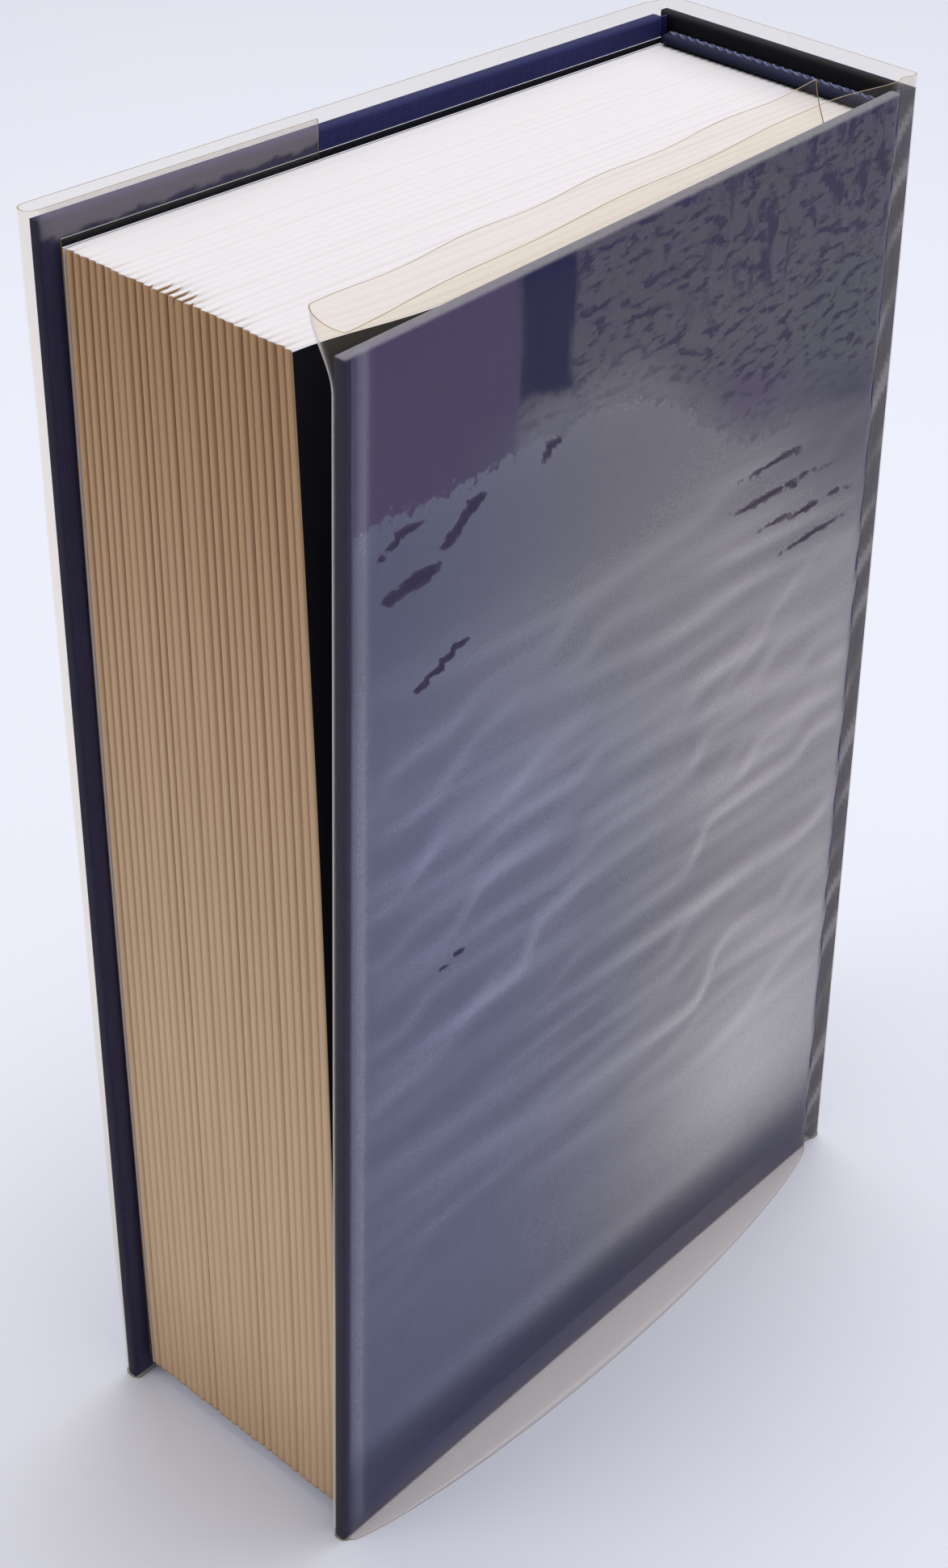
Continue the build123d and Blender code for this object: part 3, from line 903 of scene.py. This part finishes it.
def film_path(side):
    """The jacket's line round one half of the case, from the middle of the spine to the end of its flap:
    lists of x, depth under the cover's face, and whether it is flap."""
    gap = 0.25
    rounding = 1.0
    end = flap_end(side)
    x, depth, flap = [], [], []

    def run(xs, depths, is_flap=0.0):
        x.extend(xs)
        depth.extend(depths)
        flap.extend(np.broadcast_to(is_flap, len(xs)))

    run([SPINE_X - gap] * 10, np.linspace(HALF, rounding + 0.5, 10))
    turn = np.linspace(0, math.pi / 2, 6)
    run(SPINE_X - gap + rounding * (1 - np.cos(turn)), rounding - gap - rounding * np.sin(turn))
    joint = np.linspace(SPINE_X + 1.4, BOARD_X + 0.8, 9)
    run(joint, -gap + 0.7 * np.sin(np.pi * (joint - joint[0]) / (joint[-1] - joint[0])) ** 1.5)
    run(np.linspace(BOARD_X + 1.8, FORE_X - 1.4, 118), [-gap] * 118)
    inner = COVER_DEPTH + 0.45
    turn = np.linspace(0, math.pi, 13)
    middle, reach = (inner - gap) / 2, (inner + gap) / 2
    run(FORE_X - 0.7 + 1.15 * np.sin(turn), middle - reach * np.cos(turn), 0.9 * turn / math.pi + 0.05)
    run(np.linspace(FORE_X - 1.8, end, 36), [inner] * 36, 1.0)
    return np.array(x), np.array(depth), np.array(flap)


def flap_end(side):
    """X of the flap's free edge: the least X of the jacket's points behind the cover's inner face."""
    points = cad_points(f"jacket_{SIDE_NAMES[side]}")
    outer = face_y(side, points[:, 0], points[:, 2], 0)
    behind = (outer - points[:, 1]) * side > COVER_DEPTH + 0.1
    return points[behind, 0].min()


def jacket_grid(side, rows):
    """Points of one half of the jacket before its creases: rows up the height, columns along film_path."""
    x, depth, flap = film_path(side)
    xs, zs = np.meshgrid(x, rows)
    depths = np.broadcast_to(depth, xs.shape).copy()
    flaps = np.broadcast_to(flap, xs.shape)
    return xs, zs, depths, flaps


def back_jacket():
    head_rows = HEIGHT + np.array([-1.6, -1.2, -0.8, -0.4, 0, 0.3, 0.6, 1.2, 2, 3, 4, 4.8, 5.4])
    rows = np.concatenate([np.linspace(-9.5, 8, 24), np.linspace(9, HEIGHT - 2.2, 178), head_rows])
    xs, zs, depths, flaps = jacket_grid(BACK, rows)
    share = np.clip((FORE_X - xs) / (FORE_X - BOARD_X), 0, 1)
    is_face = (flaps == 0) & (xs > BOARD_X)
    # The head margin is low at the spine and stands up along the cover
    above = np.clip(zs - HEIGHT, 0, None) / 5.4
    outer_top = 2.1 + 2.7 * smooth(xs, SPINE_X, SPINE_X + 30) * (1 - 0.25 * smooth(xs, 20, FORE_X))
    outer_top = outer_top + 0.25 * np.sin(xs * 0.16) * smooth(xs, -50, -20)
    margin = outer_top + (5.2 + 0.3 * np.sin(xs * 0.21) - outer_top) * smooth(flaps, 0.05, 0.95)
    z = np.where(zs > HEIGHT, HEIGHT + above * margin, zs)
    lean = smooth(z, HEIGHT - 6, HEIGHT + 5.5)
    depths = depths + lean * (0.2 + 4.2 * smooth(flaps, 0.1, 1.0) * (1 - 0.35 * share))
    xs = xs + 0.9 * lean * np.sin(np.pi * np.clip(flaps, 0, 1)) * (flaps < 1)
    # Creases, fading out towards the edges of the cover
    fade = smooth(xs, BOARD_X, BOARD_X + 5) * (1 - smooth(xs, FORE_X - 7, FORE_X - 2)) * is_face
    height = wrinkles(xs, z)
    depths = depths - height * fade
    # Over the joint the film dips and bridges in short slanting puckers
    in_joint = smooth(xs, SPINE_X, SPINE_X + 1.5) * (1 - smooth(xs, BOARD_X, BOARD_X + 3)) * (flaps == 0)
    pucker = np.sin(z * 0.52 + xs * 1.1 + 1.4 * np.sin(z * 0.09)) * (0.35 + 0.65 * np.sin(z * 0.083) ** 2)
    depths = depths + in_joint * (0.08 - 0.16 * pucker)
    # The tail margin bends out on the table in a bow
    bow = np.clip(1 - ((xs - (BOARD_X + FORE_X) / 2) / ((FORE_X - BOARD_X) / 2)) ** 2, 0, 1) ** 0.7
    low = np.clip(6.5 - zs, 0, None) / 16
    flare = np.where(is_face, 7.6 * bow * smooth(low, 0, 1.0), 0)
    z_bent = np.where(zs < 6.5, 6.5 * (1 - smooth(low, 0, 0.85)), zs)
    z_straight = np.clip(zs, 0, None)
    bent = np.where(is_face, z_straight + (z_bent - z_straight) * np.minimum(bow * 2, 1), np.clip(zs * 0.42 + 3.9, 0, None))
    z = np.where(zs < 6.5, bent, z)
    depths = depths - flare
    y = face_y(BACK, xs, np.clip(z, 0, None), depths)
    points = np.stack([xs, y, z + 0.12], -1)
    normal = grid_normals(points)
    inner = points - normal * FILM
    veil, cling, stuck, blotch = back_veil(xs, z, height * fade)
    plain = plain_veil(xs.shape, (0.80, 0.70, 0.58), 0.03)
    # Painted highlight: over the joint the veil is paler and thicker on the puckers where the film bridges, partly the
    # haze of film standing off the cloth.
    bridging_highlight = in_joint * smooth(pucker, -0.2, 0.7)
    plain = plain + (np.array([0.70, 0.66, 0.68, 0.40]) - plain) * bridging_highlight[..., None]
    plain = plain + (np.array([0.56, 0.52, 0.54, 0.24]) - plain) * (in_joint * (1 - bridging_highlight))[..., None]
    # Painted highlight: a near-white line along the fore-edge fold.
    plain = plain + (np.array([0.85, 0.88, 0.98, 0.85]) - plain) * fold_highlight(flaps)[..., None]
    face_share = is_face * smooth(xs, BOARD_X, BOARD_X + 2) * (z < HEIGHT + 0.45)
    veil = plain + (veil - plain) * face_share[..., None]
    flare_veil = plain_veil(xs.shape, (0.66, 0.56, 0.60), 0.14)
    veil = veil + (flare_veil - veil) * (smooth(-zs, -5, 1) * is_face)[..., None]
    tones = [
        ("veil", "FLOAT_COLOR", veil), ("cling", "FLOAT_COLOR", cling),
        ("stuck", "FLOAT", stuck * face_share * (zs > 6)), ("blotch", "FLOAT", blotch * face_share),
    ]
    return points, inner, np.stack([xs + flaps * 300, zs, depths], -1), tones


def fold_highlight(flaps):
    """A painted highlight: a thin pale line along the inner corner of the fore-edge fold, where the film turns into
    the flap.
    """
    return np.exp(-(((flaps - 0.70) / 0.08) ** 2))


def front_jacket():
    rows = np.concatenate([
        np.linspace(0, HEIGHT - 7, 86), np.linspace(HEIGHT - 6.5, HEIGHT, 27), HEIGHT + np.array([0.5, 1.2, 2.0]),
    ])
    xs, zs, depths, flaps = jacket_grid(FRONT, rows)
    proud = (0.6 + 1.2 * zs / HEIGHT) * smooth(zs, 0, 30) * np.sin(np.pi * np.clip(flaps, 0, 1)) ** 0.7 * (flaps < 1)
    xs = xs + proud
    slack = noise_lines(xs, zs) * 0.25
    depths = depths - slack * (flaps < 0.4)
    y = face_y(FRONT, xs, zs, depths)
    points = np.stack([xs, y, zs + 0.12], -1)
    normal = grid_normals(points)
    inner = points + normal * FILM
    veil = plain_veil(xs.shape, (0.70, 0.66, 0.60), 0.015)
    wavy = zs - HEIGHT + 0.35 * np.sin(xs * 0.7) + 0.25 * np.sin(xs * 1.9 + 1.0) - 0.02 * (FORE_X - xs)
    # The flap's veil is grey only near the head and nearly clear lower down, with a wavy edge: a painted shade for the
    # flap in shadow.
    on_flap = smooth(flaps, 0.85, 1.0) * (0.12 + 0.88 * smooth(wavy, -3.4, -2.6))
    veil = veil + (np.array([0.46, 0.41, 0.45, 0.34]) - veil) * on_flap[..., None]
    return points, inner, np.stack([xs + flaps * 300, zs, depths], -1), [("veil", "FLOAT_COLOR", veil)]


def noise_lines(x, z):
    return 0.5 + 0.5 * np.sin(z * 0.11 + 1.3 * np.sin(x * 0.05)) * np.sin(x * 0.07 + z * 0.03)


def make_jacket():
    for side, build in ((BACK, back_jacket), (FRONT, front_jacket)):
        name = SIDE_NAMES[side]
        outer, inner, flat, tones = build()
        piece = sheet_solid(f"{name}_film_jacket", outer, inner, flat, tones, start_slot=0, sharp=80)
        finish_piece(piece, ["film", "film_edge"], None, [f"jacket_{name}", "jacket_spine"])
        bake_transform(piece)


# ---------------------------------------------------------------- carried-over CAD nodes

def dress_cad_nodes():
    finishes = {
        "spine_lining": "lining", "spine_strip": "board", "front_board": "board", "back_board": "board",
        "front_flyleaf": "endpaper_front",
        "front_pastedown": "endpaper_back", "back_pastedown": "endpaper_front",
    }
    for node, key in finishes.items():
        mesh_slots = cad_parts[node].material_slots
        for place in mesh_slots:
            place.material = materials[key]


# ---------------------------------------------------------------- camera, floor and light

def make_camera():
    azimuth, elevation, roll = (math.radians(v) for v in (131.92, 29.9, 1.84))
    target = Vector((-13.36, MIDDLE_Y, 138.31))
    distance = 502.92
    back = Vector((
        math.sin(azimuth) * math.cos(elevation), -math.cos(azimuth) * math.cos(elevation), math.sin(elevation),
    ))
    right = (-back).cross(Vector((0, 0, 1))).normalized()
    up = right.cross(-back)
    turned_right = right * math.cos(roll) + up * math.sin(roll)
    turned_up = up * math.cos(roll) - right * math.sin(roll)
    data = bpy.data.cameras.new("camera")
    data.sensor_width = 36
    data.lens = 67.40
    data.shift_x = -0.0479
    data.shift_y = -0.1239
    data.clip_start = 0.01
    camera = bpy.data.objects.new("camera", data)
    bpy.context.scene.collection.objects.link(camera)
    camera.matrix_world = Matrix.Translation((target + back * distance) * MM) @ Matrix(
        (turned_right, turned_up, back)
    ).transposed().to_4x4()
    bpy.context.scene.camera = camera


def make_floor():
    size = 3.0
    mesh = bpy.data.meshes.new("floor")
    mesh.from_pydata([(-size, -size, 0), (size, -size, 0), (size, size, 0), (-size, size, 0)], [], [[0, 1, 2, 3]])
    floor = bpy.data.objects.new("floor", mesh)
    bpy.context.scene.collection.objects.link(floor)
    made, tree, shader = new_material("floor")
    place = add(tree, "TexCoord").outputs["Object"]
    cloud = noise(tree, place, 3.0, 3.0).outputs["Fac"]
    tree.links.new(mix_colour(tree, cloud, (0.78, 0.80, 0.90), (0.82, 0.83, 0.91)), shader.inputs["Base Color"])
    shader.inputs["Roughness"].default_value = 0.6
    shader.inputs["Specular IOR Level"].default_value = 0.2
    mesh.materials.append(made)


def area_light(name, place, target, size, power, colour):
    data = bpy.data.lights.new(name, "AREA")
    data.shape = "DISK"
    data.size = size
    data.energy = power
    data.color = colour
    light = bpy.data.objects.new(name, data)
    bpy.context.scene.collection.objects.link(light)
    light.location = place
    light.rotation_euler = (Vector(target) - Vector(place)).to_track_quat("-Z", "Y").to_euler()


def make_light():
    """A soft white studio: the world shows as white to the camera and in reflections, and lights less than that."""
    world = bpy.data.worlds.new("studio")
    bpy.context.scene.world = world
    world.use_nodes = True
    tree = world.node_tree
    sky = tree.nodes["Background"]
    sky.inputs["Color"].default_value = (0.93, 0.95, 1.0, 1)
    path = add(tree, "LightPath")
    seen = maths(tree, "MAXIMUM", path.outputs["Is Camera Ray"], path.outputs["Is Glossy Ray"])
    seen = maths(tree, "MAXIMUM", seen, path.outputs["Is Transmission Ray"])
    strength = add(tree, "MapRange", {"Value": seen, "To Min": 0.47, "To Max": 1.0}).outputs["Result"]
    tree.links.new(strength, sky.inputs["Strength"])
    area_light("overhead", (-0.32, -0.06, 1.3), (0, 0, 0.1), 1.1, 11.6, (1.0, 0.985, 0.97))
    area_light("fill", (1.0, -0.5, 0.75), (0, 0, 0.1), 0.8, 3.4, (1.0, 0.965, 0.92))


make_camera()
make_floor()
make_light()
make_covers()
make_spine()
make_joint_cloths()
make_text_block()
make_back_flyleaf()
make_band("head")
make_band("tail")
make_jacket()
dress_cad_nodes()
bpy.context.scene.view_settings.view_transform = "Standard"
